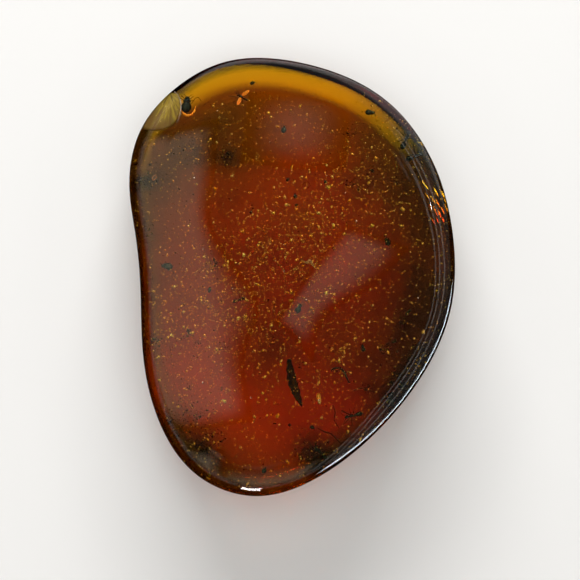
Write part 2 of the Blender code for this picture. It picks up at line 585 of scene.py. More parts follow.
# Stains that tint the resin, some of them also painted shade: the rim stain, and the brown and dark
# stains where they thicken along the outline, darken the rim. For each: what it takes of red, green and
# blue per metre, the height of its middle as a share of the room from the underside to the top, its
# thickness all over in mm, and the places where it is thicker or thinner: pixel, reaches in mm, turn in
# degrees, and the thickness added in mm
STAINS = {
    # Brown tint of the resin, and at its places along the outline painted shade that darkens the rim
    "brown_stain_and_rim_shade": ((130.0, 40.0, 20.0), 0.66, 2.0, (
        ((228, 140), 8, 5, -8, 3), ((380, 178), 9, 6, -45, 3.4), ((425, 325), 5, 14, -8, 5.6),
        ((190, 440), 8, 4.5, -35, 4), ((157, 205), 4.5, 9, 0, 2.2), ((144, 310), 2.2, 12, 4, 4),
        ((260, 350), 7, 4.5, 40, 1.6), ((365, 345), 6, 5, 40, 1.8), ((325, 482), 9, 3, 20, 3),
        ((225, 478), 7, 2.6, -15, 3), ((366, 434), 8, 3.4, 42, 5.5), ((392, 385), 4.5, 4, 45, 4),
        ((340, 408), 6, 3.8, 25, -2.8), ((243, 418), 7.5, 6, 0, -2.6), ((192, 370), 6, 7, 0, -2),
        ((325, 185), 7, 4, -45, -1), ((255, 200), 8, 5, 30, -0.9), ((205, 152), 6, 5, 0, 1.6),
        ((420, 220), 4, 12, 0, 3), ((418, 150), 3, 6, 35, 3),
    )),
    "red_stain": ((4.0, 60.0, 90.0), 0.3, 1.0, (
        ((335, 400), 7, 5, 20, 4.5), ((330, 185), 8, 4.5, -45, 3), ((290, 260), 6, 5, 0, 1.6),
        ((395, 290), 6, 10, 0, 2), ((235, 415), 8, 6, 0, -1),
    )),
    # Painted shade: an absorbing band that darkens the rim all round
    "painted_rim_shade": ((420.0, 340.0, 120.0), 0.7, 0.0, ()),
    # Dark clouds in the resin, and at its places along the outline painted shade that darkens the rim
    "dark_stain_and_rim_shade": ((330.0, 195.0, 60.0), 0.8, 0.0, (
        ((352, 443), 6, 2.2, 35, 2.6), ((398, 394), 5.5, 2.2, 50, 2.2), ((430, 335), 1.8, 9, -10, 1.8),
        ((320, 470), 6, 2, 22, 1.6), ((240, 478), 9, 2, 0, 1.5), ((421, 144), 1.6, 5, 35, 2.5),
        ((142, 300), 1.6, 14, 3, 3.2), ((200, 452), 7, 1.8, -40, 1.6), ((314, 450), 1.9, 2.6, 20, 5.5),
        ((326, 466), 2.2, 1.8, 0, 4), ((389, 398), 1.3, 1.3, 0, 4.5), ((402, 325), 1.4, 2.8, -10, 3),
        ((409, 362), 1.4, 3, -30, 4), ((148, 184), 1.8, 1.1, 20, 4), ((228, 162), 1.4, 1.2, 0, 2.4),
        ((196, 160), 3.4, 2.2, 10, 1.2), ((166, 425), 1.6, 3, 40, 3), ((205, 447), 3, 1.4, -35, 2.6),
        ((370, 385), 1.4, 1, 30, 1.6), ((280, 345), 2.5, 1.5, 40, 0.8),
    )),
}
PAINTED_RIM_SHADE = "painted_rim_shade"     # painted shade: it darkens the rim all round, where it has the thickness below
RIM_THICKNESS = 3.4
RIM_FADE = (1.1, 2.7)       # how far in from the outline it starts to fade and is gone
# Stains reach to within this many mm of the outline, so that they also paint shade on the rim
STAIN_INSET = 0.6
STAIN_MARGIN = 0.5
STAIN_AROUND = 220
STAIN_RINGS = 80
THINNEST = 0.06
SHARP_RINGS = 2             # rings over which a stain grows from nothing at its outer edge
WANDER = 5.0                # size in mm of the random swells in a stain


def stain_thickness(plan, number, name):
    """Uneven thickness of a stain in mm, almost nothing in the clear band at the far end."""
    _, _, thickness, places = STAINS[name]
    total = np.full(len(plan), thickness)
    for pixel, reach_x, reach_y, turn, added in places:
        total += added * spot(plan, *pixel, reach_x, reach_y, turn)
    corners = [Vector((x / WANDER, y / WANDER, number * 7.0)) for x, y in plan]
    wander = np.array([noise.fractal(corner, 1.0, 2.0, 5) for corner in corners])
    total = total * (1 + 0.55 * wander) * clear_end(plan)
    # Painted shade: the band along the outline that darkens the rim all round
    if name == PAINTED_RIM_SHADE:
        share = np.clip((RIM_FADE[1] - nearest_edge(plan)[0]) / (RIM_FADE[1] - RIM_FADE[0]), 0, 1)
        total += RIM_THICKNESS * share * share * (3 - 2 * share) * (1 + 0.3 * wander)
    return np.maximum(total, THINNEST)


def stain_sides(plan, number, name, share):
    """Points on the upper and under side of a stain at plan points, at a share of its full thickness."""
    low, high = room_at(plan, STAIN_MARGIN)
    middle = low + STAINS[name][1] * (high - low)
    half = stain_thickness(plan, number, name) / 2 * share
    heights = np.minimum(middle + half, high), np.maximum(middle - half, low)
    return [np.column_stack((plan, height)) for height in heights]


def stain(number, name):
    """One stain, as a closed sheet whose thickness changes from place to place."""
    curve, inward = plan_outline(STAIN_AROUND)
    rim = curve + inward * STAIN_INSET
    shape = bmesh.new()
    upper = [[shape.verts.new(point) for point in stain_sides(rim, number, name, 0.0)[0]]]
    under = [upper[0]]
    for ring in range(1, STAIN_RINGS):
        plan = rim * (1 - ring / STAIN_RINGS)
        sides = stain_sides(plan, number, name, min(1.0, ring / SHARP_RINGS))
        for sheet, points in zip((upper, under), sides):
            sheet.append([shape.verts.new(point) for point in points])
    top, bottom = (shape.verts.new(side[0]) for side in stain_sides(np.zeros((1, 2)), number, name, 1.0))
    close_loop(shape, upper[-1], top)
    close_loop(shape, under[-1][::-1], bottom)
    for outer, inner in zip(upper, upper[1:]):
        join_loops(shape, outer, inner)
    for outer, inner in zip(under, under[1:]):
        join_loops(shape, inner, outer)
    add_debris(name, shape, see_through(name, 1.0, STAINS[name][0]))


def stains():
    """The uneven colour of the resin, deepest along the right-hand edge, with painted shade that darkens the
    rim.
    """
    for number, name in enumerate(STAINS):
        stain(number, name)


# ---------------------------------------------------------------- insects, plant bits and cracks

SKIN = 0.15                 # least depth of a leg or thread under the surface, in mm


def sealed(px, py, depth):
    """Point under a pixel, a depth in mm below the top."""
    above = place(px, py, 0.0)
    high = room_at(np.array([above[:2]]))[1][0]
    return Vector((above.x, above.y, high - depth))


def keep_inside(shape):
    """Bend anything that would stick out of the amber, such as a leg's tip, back in under its surface."""
    points = kept_inside(np.array([corner.co for corner in shape.verts]), SKIN)
    for corner, point in zip(shape.verts, points):
        corner.co = point


def set_slot(faces, slot):
    """Give faces one of the piece's materials."""
    for face in faces:
        face.material_index = slot


def add_blob(shape, middle, radii, segments=14):
    """Ellipsoid."""
    fit = Matrix.Translation(middle) @ Matrix.Diagonal((*radii, 1.0))
    rings = segments // 2 + 1
    bmesh.ops.create_uvsphere(shape, u_segments=segments, v_segments=rings, radius=1.0, matrix=fit)


def add_tube(shape, points, radii, slot=0, sides=7):
    """Closed round tube along the points, with a radius at each."""
    loops = []
    for k, point in enumerate(points):
        along = points[min(k + 1, len(points) - 1)] - points[max(k - 1, 0)]
        turn = along.to_track_quat("Z", "Y")
        angles = [math.tau * side / sides for side in range(sides)]
        offsets = [Vector((math.cos(angle), math.sin(angle), 0.0)) * radii[k] for angle in angles]
        loops.append([shape.verts.new(point + turn @ offset) for offset in offsets])
    faces = [shape.faces.new(reversed(loops[0])), shape.faces.new(loops[-1])]
    for lower, upper in zip(loops, loops[1:]):
        faces += join_loops(shape, lower, upper)
    set_slot(faces, slot)


def add_leg(shape, hip, out, reach, girth):
    """Jointed leg: up and out to the knee, down to the ankle, and a short foot."""
    out = Vector(out).normalized() * reach
    rise = Vector((0.0, 0.0, reach))
    knee = hip + out * 0.42 + rise * 0.16
    ankle = hip + out * 0.85 - rise * 0.14
    toe = hip + out * 1.12 - rise * 0.16
    add_tube(shape, [hip, knee, ankle, toe], [girth * 1.3, girth, girth * 0.75, girth * 0.5], sides=5)


# A wing's radii along, across and up, in lengths of the insect's body
WING_RADII = (0.32, 0.12, 0.008)


def add_wing(shape, side, spread):
    """Flat oval wing from the chest, spread back by an angle in radians."""
    wing = bmesh.ops.create_uvsphere(shape, u_segments=16, v_segments=8, radius=1.0)["verts"]
    fold = Euler((0.12 * side, -0.1, math.pi - side * spread)).to_matrix().to_4x4()
    fit = Matrix.Translation((0.08, side * 0.06, 0.1)) @ fold @ Matrix.Translation((0.3, 0.0, 0.0))
    bmesh.ops.transform(shape, matrix=fit @ Matrix.Diagonal((*WING_RADII, 1.0)), verts=wing)
    set_slot({face for vert in wing for face in vert.link_faces}, 1)


# Kinds of insect, in lengths of the whole body with the head towards +X: blobs as places and radii
# along, across and up, and then the legs' reach, their thickness, and the feelers' length
KINDS = {
    "beetle": ((
        ((-0.14, 0.0), (0.34, 0.29, 0.18)), ((0.2, -0.01), (0.15, 0.22, 0.14)),
        ((0.37, -0.03), (0.1, 0.13, 0.09)),
    ), 0.34, 0.022, 0.22),
    "ant": ((
        ((-0.3, 0.0), (0.2, 0.13, 0.12)), ((-0.06, 0.02), (0.07, 0.05, 0.06)),
        ((0.12, 0.03), (0.16, 0.08, 0.09)), ((0.38, 0.0), (0.12, 0.1, 0.08)),
    ), 0.42, 0.018, 0.34),
    "gnat": ((
        ((-0.24, -0.04), (0.27, 0.06, 0.06)), ((0.1, 0.04), (0.14, 0.1, 0.12)),
        ((0.29, -0.02), (0.07, 0.08, 0.07)),
    ), 0.62, 0.014, 0.26),
    "mite": ((
        ((-0.1, 0.0), (0.36, 0.3, 0.22)), ((0.3, -0.03), (0.14, 0.12, 0.1)),
    ), 0.3, 0.03, 0.14),
}
# Each side's three legs: place along from the chest, and swing forwards in radians
LEGS = ((0.08, 0.9), (0.0, 0.1), (-0.1, -0.8))


def insect_shape(random, kind):
    """Bmesh of one insect, a unit long."""
    blobs, leg_reach, leg_girth, feeler = KINDS[kind]
    shape = bmesh.new()
    for (along, up), radii in blobs:
        add_blob(shape, Vector((along, 0.0, up)), radii)
    chest = blobs[-2][0][0] if kind != "mite" else 0.0
    for side in (-1, 1):
        for share, swing in LEGS:
            hip = Vector((chest + share, side * 0.07, -0.05))
            swing += random.uniform(-0.35, 0.35)
            out = (math.sin(swing), side * math.cos(swing), 0.0)
            add_leg(shape, hip, out, leg_reach * random.uniform(0.8, 1.2), leg_girth)
        root = Vector((0.42, side * 0.05, 0.02))
        bend = root + Vector((0.45, side * 0.35, 0.1)) * feeler
        tip = root + Vector((0.75, side * 0.9, -0.1)) * feeler
        add_tube(shape, [root, bend, tip], [leg_girth * 0.8, leg_girth * 0.6, leg_girth * 0.7], sides=5)
    if kind == "gnat":
        add_wing(shape, -1, 1.15)
        add_wing(shape, 1, 1.5)
    return shape


# Insects: kind, pixel, depth in mm, body length in mm, direction of the head in degrees, tilt in degrees
INSECTS = (
    ("beetle", (187.5, 106.5), 0.8, 2.7, 84, 8), ("gnat", (242.5, 99.5), 0.8, 2.2, 150, 15),
    ("beetle", (369, 115), 0.9, 1.5, -6, 10), ("ant", (404, 142), 0.45, 3.2, 66, 4),
    ("ant", (412.5, 158.5), 0.45, 2.8, 25, 4), ("mite", (284, 132), 0.7, 1.25, 80, 10),
    ("mite", (295, 198), 0.7, 0.9, 100, 20), ("mite", (288, 182), 0.8, 0.7, 40, 0),
    ("mite", (296.5, 207), 0.9, 0.55, 20, 0), ("beetle", (170, 267), 0.8, 1.8, 172, 12),
    ("beetle", (298.5, 308), 0.7, 1.5, 70, 25), ("beetle", (361, 346.5), 1, 1.1, 105, 10),
    ("beetle", (385, 243), 1.2, 1.3, 120, 15), ("mite", (211.5, 290), 0.7, 0.8, 90, 0),
    ("mite", (253, 85), 0.8, 0.9, 20, 0), ("ant", (352, 412), 1, 2.6, -165, 10),
    ("ant", (320, 449), 1.2, 2.6, 140, 35), ("beetle", (388, 397), 0.9, 2, 100, 30),
    ("mite", (265, 466), 0.8, 1.1, 60, 15), ("mite", (252, 214), 0.8, 0.6, 60, 0),
    ("mite", (324.6, 184), 0.8, 0.6, 60, 0), ("ant", (240, 300), 2, 1.8, 20, 0),
    ("mite", (312, 424), 0.9, 0.9, -35, 0), ("beetle", (405, 312), 1.4, 1.1, 40, 20),
)


def insects():
    """Every insect, as its own piece."""
    random = np.random.default_rng(11)
    shell = mottled_material("insect_shell", (0.004, 0.007, 0.008), (0.022, 0.035, 0.036), 0.35, scale=9.0)
    wing = mottled_material("insect_wing", (0.9, 0.2, 0.006), (1.0, 0.36, 0.02), 0.4, scale=5.0)
    for number, (kind, pixel, depth, length, heading, tilt) in enumerate(INSECTS, 1):
        shape = insect_shape(random, kind)
        middle = sealed(*pixel, depth)
        turn = Euler([math.radians(angle) for angle in (tilt, -tilt / 2, heading)]).to_matrix().to_4x4()
        fit = Matrix.Translation(middle) @ turn @ Matrix.Scale(length, 4)
        bmesh.ops.transform(shape, matrix=fit, verts=shape.verts)
        keep_inside(shape)
        bmesh.ops.scale(shape, vec=(MM, MM, MM), verts=shape.verts)
        piece = add_object(f"{kind}_{number}", shape, shell)
        piece.data.materials.append(wing)
        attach(piece, "root")


def add_debris(name, shape, material):
    """Piece of sealed matter from a bmesh in mm."""
    bmesh.ops.scale(shape, vec=(MM, MM, MM), verts=shape.verts)
    piece = add_object(name, shape, material)
    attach(piece, "root")
    return piece


# Hairs, roots and threads: half thickness in mm, depth in mm, and the pixels they run through
THREADS = (
    (0.17, 0.7, ((330, 368), (334, 366), (339, 366), (343, 370), (345, 375), (348, 381))),
    (0.04, 0.5, ((301, 189), (304, 185), (308, 184), (310, 188), (307, 191))),
    (0.04, 0.5, ((298, 247), (301, 243), (305, 242), (307, 246))),
    (0.09, 0.9, ((316, 424), (323, 428), (330, 430), (340, 440))),
    (0.07, 0.9, ((332, 401), (334, 409), (333, 417), (338, 425))),
    (0.08, 0.8, ((340, 407), (345, 410), (352, 413), (360, 412))),
    (0.04, 0.7, ((375, 181), (384, 183), (394, 185), (403, 184))),
    (0.04, 0.5, ((172, 158), (174, 154), (176, 150))),
    (0.05, 0.6, ((192, 106), (196, 100), (199, 99), (202, 103))),
    (0.06, 1.0, ((308, 438), (314, 446), (321, 450), (329, 447))),
    (0.08, 0.6, ((352, 388), (356, 386), (361, 386), (366, 388))),
    (0.05, 1.0, ((344, 430), (352, 434), (358, 441), (366, 444))),
)


def threads():
    """Hairs and rootlets, together one piece."""
    hair = mottled_material("thread", (0.008, 0.008, 0.008), (0.03, 0.02, 0.014), 0.9, scale=30.0)
    shape = bmesh.new()
    for girth, depth, pixels in THREADS:
        points = [sealed(*pixel, depth) for pixel in pixels]
        swells = np.sin(np.linspace(0, math.pi, len(points)))
        add_tube(shape, points, girth * (0.6 + 0.4 * swells))
    keep_inside(shape)
    add_debris("threads", shape, hair)


# Larva: pixels it runs through, steps along it, depth and half thickness in mm
LARVA_BENDS = ((302, 261), (306, 264), (309, 261), (312, 265), (315, 270))
LARVA_STEPS = 28
LARVA_DEPTH = 0.7
LARVA_GIRTH = 0.2


def larva():
    """Small ringed grub, curled in an S."""
    skin = mottled_material("larva_skin", (0.25, 0.12, 0.06), (0.6, 0.36, 0.22), 0.5, scale=14.0)
    bends = [sealed(*pixel, LARVA_DEPTH) for pixel in LARVA_BENDS]
    points = []
    radii = []
    for step in range(LARVA_STEPS + 1):
        share = step / LARVA_STEPS * (len(bends) - 1)
        k = min(int(share), len(bends) - 2)
        points.append(bends[k].lerp(bends[k + 1], share - k))
        taper = math.sin(math.pi * (0.06 + 0.88 * step / LARVA_STEPS))
        radii.append(LARVA_GIRTH * taper * (1.0 if step % 2 else 0.84))
    for _ in range(2):
        inner = [(a + b * 2 + c) / 4 for a, b, c in zip(points, points[1:], points[2:])]
        points = [points[0], *inner, points[-1]]
    shape = bmesh.new()
    add_tube(shape, points, radii, sides=10)
    add_debris("larva", shape, skin)


def add_slab(shape, rows, thickness):
    """Thin closed sheet through rows of points, all rows the same length."""
    lift = Vector((0.0, 0.0, thickness / 2))
    top, under = (
        [[shape.verts.new(point + lift * side) for point in row] for row in rows] for side in (1, -1)
    )
    for i in range(len(rows) - 1):
        for j in range(len(rows[0]) - 1):
            shape.faces.new((top[i][j], top[i + 1][j], top[i + 1][j + 1], top[i][j + 1]))
            shape.faces.new((under[i][j], under[i][j + 1], under[i + 1][j + 1], under[i + 1][j]))
    rims = (
        [row[0] for row in top], [row[0] for row in under],
        [row[-1] for row in under], [row[-1] for row in top],
        under[0], top[0], top[-1], under[-1],
    )
    for upper, lower in zip(rims[::2], rims[1::2]):
        for k in range(len(upper) - 1):
            shape.faces.new((upper[k], lower[k], lower[k + 1], upper[k + 1]))


# Leaf fragment: pixel and depth of each end, sizes in mm, steps along it and on each half
LEAF_ENDS = ((289, 357, 4.6), (302, 404, 4.2))
LEAF_HALF = 0.66
LEAF_THICKNESS = 0.05
LEAF_STEPS = 24
LEAF_SIDE_STEPS = 4


def leaf():
    """Narrow dark leaf fragment with a raised rib and a ragged tip."""
    skin = mottled_material("leaf_skin", (0.006, 0.008, 0.008), (0.03, 0.02, 0.014), 0.7, scale=12.0)
    start, end = (sealed(*place_at) for place_at in LEAF_ENDS)
    across = (end - start).normalized().cross(Vector((0.0, 0.0, 1.0)))
    rows = []
    for step in range(LEAF_STEPS + 1):
        share = step / LEAF_STEPS
        narrowing = math.sin(math.pi * min(share * 0.93 + 0.07, 1.0)) ** 0.7
        half = LEAF_HALF * narrowing * (1 + 0.12 * math.sin(share * 40))
        middle = start.lerp(end, share) + across * 0.35 * math.sin(math.pi * share)
        row = []
        for side in range(-LEAF_SIDE_STEPS, LEAF_SIDE_STEPS + 1):
            out = side / LEAF_SIDE_STEPS
            fold = 0.12 * (1 - abs(out)) + 0.04 * math.sin(share * 30 + side)
            row.append(middle + across * half * out + Vector((0.0, 0.0, fold)))
        rows.append(row)
    shape = bmesh.new()
    add_slab(shape, rows, LEAF_THICKNESS)
    add_debris("leaf_fragment", shape, skin)


# Pale lip where the crack comes out through the top: pixels, depth in mm, and half thicknesses in mm
CRACK_LIP = ((174.5, 92.0), (178.5, 96.0), (181.3, 102.0), (182.0, 109.0), (181.0, 117.0), (178.0, 125.0))
LIP_DEPTH = 0.12
LIP_GIRTHS = (0.03, 0.05, 0.07, 0.07, 0.05, 0.03)
# Crack at the upper left edge: pixels along the edge it runs out to, from its start round to its end
CRACK_START = (170.5, 93.0)
CRACK_RIM = (
    (178.0, 95.5), (180.5, 101.0), (181.5, 107.0), (181.0, 113.0), (179.0, 119.0), (175.5, 125.0),
    (170.0, 129.5), (163.0, 132.0), (155.0, 132.5), (148.0, 131.5), (143.5, 130.0), (147.0, 121.0),
    (152.0, 113.0), (158.5, 105.0), (165.0, 98.0),
)
# Its colours along their ramp, a painted reflection of the light off the crack: dark, then gold, then a
# dimmer brown
CRACK_FLASH_COLOURS = (
    (0.38, (0.03, 0.02, 0.002)), (0.5, (0.13, 0.085, 0.006)), (0.6, (0.42, 0.3, 0.02)),
    (0.76, (0.22, 0.14, 0.015)), (0.95, (0.18, 0.085, 0.01)),
)
CRACK_SPOKES = 120
CRACK_STEPS = 12
CRACK_DEPTH = 0.42
CRACK_THICKNESS = 0.03
CRACK_FAN = 6.0             # distance in mm from the crack's start that is 1 in its map


def crack_material():
    """Painted reflection: the golden flash off an air-thin crack, streaked outwards from its start."""
    material, tree = new_material("crack_painted_flash")
    where = add_node(tree, "UVMap", {}, uv_map="fan").outputs["UV"]
    stretch = add_node(tree, "Mapping", {"Vector": where, "Scale": (60.0, 2.2, 1.0)}).outputs["Vector"]
    streaks = noise_pattern(tree, stretch, 1.0, 3.0)
    outwards = add_node(tree, "SeparateXYZ", {"Vector": where}).outputs["Y"]
    share = calculate(tree, "MULTIPLY_ADD", outwards, 0.45, streaks)
    colour = colour_ramp(tree, share, CRACK_FLASH_COLOURS)
    add_surface(tree, {"Base Color": colour, "Metallic": 0.1, "Roughness": 0.5})
    return material


def crack():
    """Shell-shaped crack just under the surface, ridged like a fan."""
    random = np.random.default_rng(5)
    rim = np.array([place(*pixel, 0.0)[:2] for pixel in CRACK_RIM])
    start = np.array(place(*CRACK_START, 0.0)[:2])
    along = np.linspace(0, len(rim) - 1, CRACK_SPOKES)
    edge = np.column_stack([np.interp(along, range(len(rim)), rim[:, k]) for k in (0, 1)])
    ridge = np.convolve(random.normal(0, 0.022, CRACK_SPOKES + 4), np.ones(5) / 3, "valid")
    rows = []
    for share in np.linspace(0.04, 1.0, CRACK_STEPS + 1):
        plan = start + (edge - start) * share
        ribs = 0.03 * math.sin(share * 22)
        depth = CRACK_DEPTH + (ridge * share + ribs) * (1 - share ** 6)
        rows.append([Vector(point) for point in np.column_stack((plan, room_at(plan)[1] - depth))])
    shape = bmesh.new()
    add_slab(shape, rows, CRACK_THICKNESS)
    add_tube(shape, [sealed(*pixel, LIP_DEPTH) for pixel in CRACK_LIP], LIP_GIRTHS, slot=1)
    piece = add_debris("edge_crack", shape, crack_material())
    pale = mottled_material("crack_lip", (0.3, 0.28, 0.25), (0.75, 0.72, 0.68), 0.4)
    piece.data.materials.append(pale)
    fan = piece.data.uv_layers.new(name="fan")
    origin = Vector((*start, 0.0)) * MM
    for loop in piece.data.loops:
        away = piece.data.vertices[loop.vertex_index].co - origin
        fan.data[loop.index].uv = (math.atan2(away.y, away.x) / math.tau, away.xy.length / (CRACK_FAN * MM))


# Painted highlight: mirror-bright flakes that stand in for the flashes of light in the right-hand bevels:
# pixel, length and width in mm
FLASHES = (
    ((433.5, 194), 1.7, 0.34), ((438.5, 194), 1.4, 0.22), ((441.5, 199), 2.4, 0.5),
    ((443.5, 210), 1.6, 0.3), ((430.5, 202), 1.3, 0.18), ((435, 205), 1.7, 0.3), ((432.5, 213), 1.8, 0.22),
    ((436.5, 215), 1.5, 0.34), ((440, 212), 1.4, 0.3), ((440, 221), 1, 0.44), ((434.5, 222), 1.2, 0.2),
    ((422.5, 187), 1.6, 0.26), ((424.5, 198), 1.3, 0.14), ((428, 209), 0.9, 0.14), ((420, 146), 0.8, 0.3),
    ((430.5, 223), 1.2, 0.12),
)
FLASH_DEPTH = 0.45
FLASH_THICKNESS = 0.03
# Direction of the small light that the flakes throw up to the eye, in degrees from +X and above the floor
SPARK_AZIMUTH = 30.5
SPARK_ELEVATION = 35.0


def toward(azimuth, elevation):
    """Direction in degrees from +X and above the floor."""
    away = Vector((1.0, 0.0, 0.0))
    away.rotate(Euler((0.0, -math.radians(elevation), math.radians(azimuth))))
    return away


def bent(direction, normal, ratio):
    """Direction of a ray past a surface, with ratio the index it leaves over the one it enters."""
    cosine = -direction.dot(normal)
    return direction * ratio + normal * (ratio * cosine - math.sqrt(1 - ratio ** 2 * (1 - cosine ** 2)))


def top_normal(point):
    """Outward normal of the top above a point in mm."""
    reach = 0.05
    x, y = point[:2]
    heights = room_at(np.array([(x - reach, y), (x + reach, y), (x, y - reach), (x, y + reach)]))[1]
    return Vector((heights[0] - heights[1], heights[2] - heights[3], 2 * reach)).normalized()


def flash_normal(point, light):
    """Way a flake in the amber has to face to throw light from a direction straight up."""
    normal = top_normal(point)
    seen = bent(Vector((0.0, 0.0, -1.0)), normal, 1 / IOR)
    lit = bent(-light, normal, 1 / IOR)
    return -(seen + lit).normalized()


def fire_material():
    """Painted highlight for the coloured flashes in the bevels: mirror-bright flakes, yellow at the far end
    of the cluster and red at the near end.
    """
    material, tree = new_material("painted_flash_fire")
    where = add_node(tree, "TexCoord", {}).outputs["Generated"]
    along = add_node(tree, "SeparateXYZ", {"Vector": where}).outputs["Y"]
    share = calculate(tree, "MULTIPLY_ADD", noise_pattern(tree, where, 9.0, 2.0), 0.7, along)
    colour = colour_ramp(tree, share, ((0.4, (1.0, 0.07, 0.005)), (0.85, (1.0, 0.62, 0.03))))
    add_surface(tree, {"Base Color": colour, "Metallic": 1.0, "Roughness": 0.18})
    return material


def flashes():
    """Flat flakes in the bevels that throw orange light up, a painted highlight for the flashes there,
    together one piece.
    """
    light = toward(SPARK_AZIMUTH, SPARK_ELEVATION)
    shape = bmesh.new()
    for pixel, length, width in FLASHES:
        point = sealed(*pixel, FLASH_DEPTH)
        facing = flash_normal(point, light)
        edgewise = Vector((0.0, 0.0, 1.0)).cross(top_normal(point))
        across = edgewise.cross(facing).normalized()
        axes = Matrix((across, facing.cross(across), facing)).transposed().to_4x4()
        verts = bmesh.ops.create_uvsphere(shape, u_segments=10, v_segments=7, radius=0.5)["verts"]
        fit = Matrix.Translation(point) @ axes @ Matrix.Diagonal((width, length, FLASH_THICKNESS, 1.0))
        bmesh.ops.transform(shape, matrix=fit, verts=verts)
    add_debris("edge_flashes", shape, fire_material())


# Bubbles and bright scales near the surface: their depth in mm, and each one's pixel and width in mm
BUBBLE_DEPTH = 0.3
BUBBLES = (
    ((305.6, 299.4), 0.3), ((299, 336), 0.28), ((284, 246), 0.26), ((284, 272), 0.24), ((355, 222.7), 0.34),
    ((234, 288.5), 0.26), ((212, 346), 0.22), ((205, 380), 0.32), ((252, 395), 0.24), ((175, 150), 0.22),
    ((196, 180), 0.26), ((230, 146), 0.2), ((270, 144.5), 0.2), ((344, 195), 0.24), ((326, 178), 0.2),
    ((415, 298), 0.3), ((205, 250), 0.24), ((372, 189), 0.24), ((218, 113), 0.26), ((318, 397), 0.3),
)


def bubbles():
    """Tiny bubbles, bright on the side of the lights, together one piece."""
    silver = mottled_material("bubble_skin", (0.9, 0.8, 0.7), (1.0, 1.0, 1.0), 0.22, 1.0, scale=4.0, bump=0.0)
    shape = bmesh.new()
    for pixel, width in BUBBLES:
        middle = sealed(*pixel, BUBBLE_DEPTH)
        add_blob(shape, middle, (width / 2, width / 2, width / 2.4), segments=12)
    add_debris("bubbles", shape, silver)


# Clots of dark matter: pixel, depth in mm, spread in mm, number of grains
CLOTS = (
    ((218, 265), 2.2, 0.5, 60), ((229, 161), 2.4, 0.7, 90), ((146, 184), 2.2, 0.8, 160),
    ((226, 346), 2, 0.35, 40), ((388, 399), 1.6, 0.6, 160), ((316, 450), 1.6, 1, 200),
    ((324, 462), 1.4, 0.7, 100), ((385, 244), 1.8, 0.35, 50), ((184, 337), 1.6, 0.3, 30),
    ((192, 333), 1.6, 0.3, 30), ((200, 341), 1.6, 0.3, 30), ((223, 386), 1.2, 0.25, 24),
    ((192, 385), 1.2, 0.25, 24), ((400, 322), 2.2, 0.6, 90), ((416, 345), 1.8, 0.7, 130),
    ((410, 362), 1.8, 0.9, 160), ((392, 372), 1.8, 0.8, 160), ((404, 386), 1.6, 0.7, 160),
    ((384, 347), 1.8, 0.6, 90), ((366, 385), 2, 0.4, 50), ((388, 340), 1.6, 0.3, 30),
    ((302, 362), 2.2, 0.3, 24), ((312, 456), 1.6, 0.5, 90), ((302, 451), 1.6, 0.4, 60),
    ((349, 136), 1.5, 0.5, 60), ((369, 172), 2, 0.5, 60), ((351, 186), 2.2, 0.6, 70),
    ((168, 268), 1.4, 0.4, 24), ((158, 338), 2, 0.8, 90), ((200, 412), 2.4, 1.4, 160),
    ((180, 425), 1.8, 1.2, 140), ((216, 434), 2.4, 1.2, 120), ((150, 230), 2, 0.6, 60),
    ((192, 150), 2, 0.9, 70), ((420, 152), 1.2, 0.4, 40), ((410, 150), 1.2, 0.3, 30),
)


def clots():
    """Clots of dark grains, which look like soft smudges, as one piece."""
    random = np.random.default_rng(17)
    points = []
    for pixel, depth, spread, count in CLOTS:
        middle = sealed(*pixel, depth)
        points.append(np.array(middle) + random.normal(0, spread, (count, 3)) * (1.0, 1.0, 0.4))
    points = np.concatenate(points)
    low, high = room_at(points[:, :2], DUST_MARGIN)
    points = points[(points[:, 2] > low) & (points[:, 2] < high)]
    sizes = long_tailed(random, len(points), 0.1, 0.1, math.inf)
    grains("dark_clots", random, points, sizes, 0.6, 90.0, bpy.data.materials["dark_grain"])


# Ring-shaped scale: pixel and depth, turn in degrees, radii along and across, and half thickness in mm
SCALE_PLACE = (156.5, 179.4, 0.4)
SCALE_TURN = 55.0
SCALE_RADII = (0.42, 0.22)
SCALE_GIRTH = 0.07
SCALE_SIDES = 22


def ring_scale():
    """Scale that shines orange, an oval ring with a small gap."""
    gold = mottled_material("ring_gold", (1.0, 0.3, 0.08), (1.0, 0.6, 0.3), 0.25, 1.0, scale=5.0, bump=0.1)
    middle = sealed(*SCALE_PLACE)
    turn = Euler((0.1, -0.1, math.radians(SCALE_TURN))).to_matrix()
    long, short = SCALE_RADII
    angles = [math.tau * k / SCALE_SIDES for k in range(SCALE_SIDES - 1)]
    loop = [middle + turn @ Vector((long * math.cos(t), short * math.sin(t), 0.0)) for t in angles]
    shape = bmesh.new()
    add_tube(shape, loop, [SCALE_GIRTH] * len(loop))
    add_debris("ring_scale", shape, gold)


# Pale husk: pixel and depth of its narrow end, what a step along it adds to those, and its half
# thickness in mm at each step
HUSK_START = (319.0, 400.5, 0.4)
HUSK_STEP = (-0.25, -1.5, 0.25)
HUSK_GIRTHS = (0.14, 0.24, 0.29, 0.32, 0.34, 0.33, 0.26)


def pale_husk():
    """Pale husk, a blunt closed tube that widens and sinks from its narrow end."""
    skin = mottled_material("husk_skin", (0.5, 0.26, 0.07), (0.9, 0.62, 0.28), 0.5)
    shape = bmesh.new()
    steps = range(len(HUSK_GIRTHS))
    points = [sealed(*(a + b * step for a, b in zip(HUSK_START, HUSK_STEP))) for step in steps]
    add_tube(shape, points, HUSK_GIRTHS, sides=12)
    add_debris("pale_husk", shape, skin)


